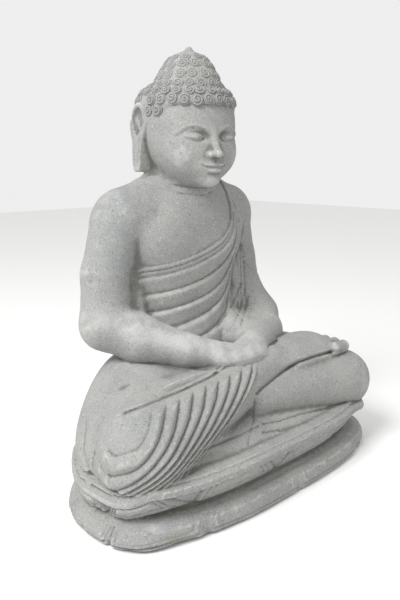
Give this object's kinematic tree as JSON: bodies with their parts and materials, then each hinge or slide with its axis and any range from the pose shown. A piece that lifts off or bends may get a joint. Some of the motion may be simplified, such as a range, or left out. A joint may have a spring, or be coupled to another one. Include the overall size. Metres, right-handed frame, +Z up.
{
  "type": "seated buddha figure",
  "caption": "Seated stone figure in full lotus, hands in the lap, robe over one shoulder, carved in one with a double lotus plinth.",
  "frame": {"origin": "middle of the plinth's flat underside", "axes": "+Z up, the figure faces -Y, its left hand is towards +X"},
  "size_m": [0.6798, 0.3858, 0.801],
  "materials": {
    "pale_stone": "hand-tooled pale grey stone, matt, with fine light and dark grains"
  },
  "bodies": {
    "root": {"buddha_figure": "pale_stone"}
  },
  "joints": []
}
